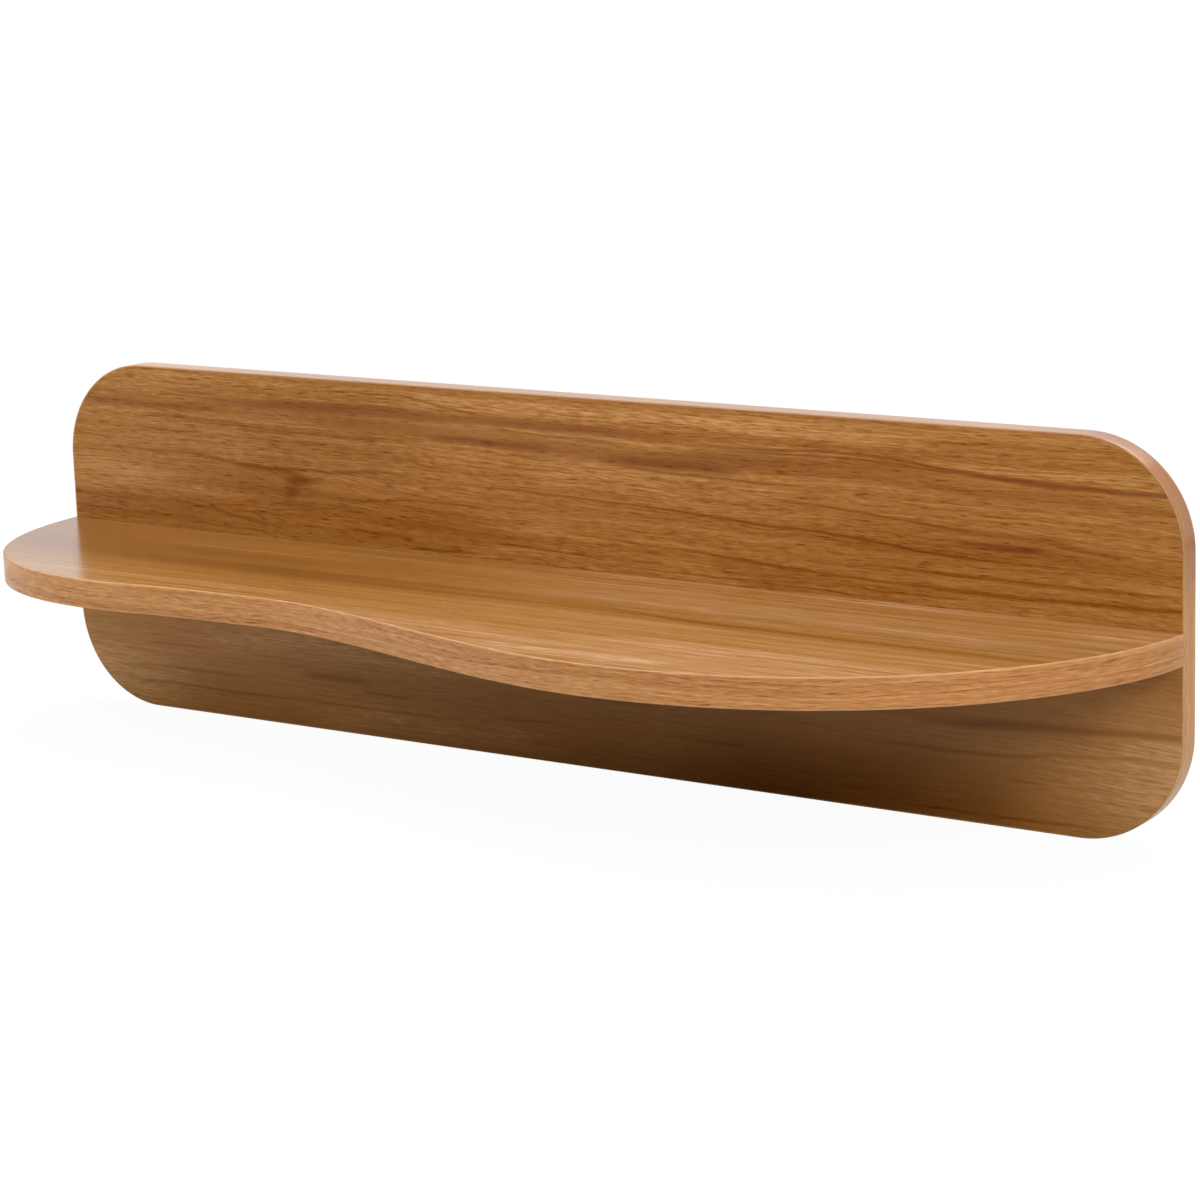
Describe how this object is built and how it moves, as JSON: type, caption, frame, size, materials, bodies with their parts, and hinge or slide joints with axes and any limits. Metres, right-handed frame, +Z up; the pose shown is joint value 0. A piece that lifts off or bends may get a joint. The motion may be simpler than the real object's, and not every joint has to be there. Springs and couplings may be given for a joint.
{
  "type": "wall shelf",
  "caption": "Low wall shelf: a back panel with round corners carries a shelf board with a wavy front edge, in walnut veneer.",
  "frame": {"origin": "middle of the rear face, which lies on the wall", "axes": "+Z up, +Y into the wall, the shelf reaches out along -Y, +X along the panel to the right of someone who faces it"},
  "size_m": [0.8, 0.218, 0.228],
  "materials": {
    "walnut_veneer": "satin lacquered walnut-like veneer, grain along the length",
    "walnut_edge_band": "satin lacquered wooden edge band, grain along the edge",
    "fibreboard_core": "raw medium density fibreboard",
    "beech_dowel": "raw fluted beech",
    "zinc_plated_steel": "zinc plated steel"
  },
  "bodies": {
    "root": {"panel_core": "fibreboard_core", "panel_front_veneer": "walnut_veneer", "panel_rear_veneer": "walnut_veneer", "panel_edge_band": "walnut_edge_band", "shelf_core": "fibreboard_core", "shelf_top_veneer": "walnut_veneer", "shelf_bottom_veneer": "walnut_veneer", "shelf_edge_band": "walnut_edge_band", "shelf_screw_1": "zinc_plated_steel", "shelf_screw_2": "zinc_plated_steel", "shelf_screw_3": "zinc_plated_steel", "shelf_screw_4": "zinc_plated_steel", "shelf_dowel_1": "beech_dowel", "shelf_dowel_2": "beech_dowel", "shelf_dowel_3": "beech_dowel", "shelf_dowel_4": "beech_dowel", "hanger_plate_left": "zinc_plated_steel", "hanger_screw_left_upper": "zinc_plated_steel", "hanger_screw_left_lower": "zinc_plated_steel", "hanger_plate_right": "zinc_plated_steel", "hanger_screw_right_upper": "zinc_plated_steel", "hanger_screw_right_lower": "zinc_plated_steel"}
  },
  "joints": []
}
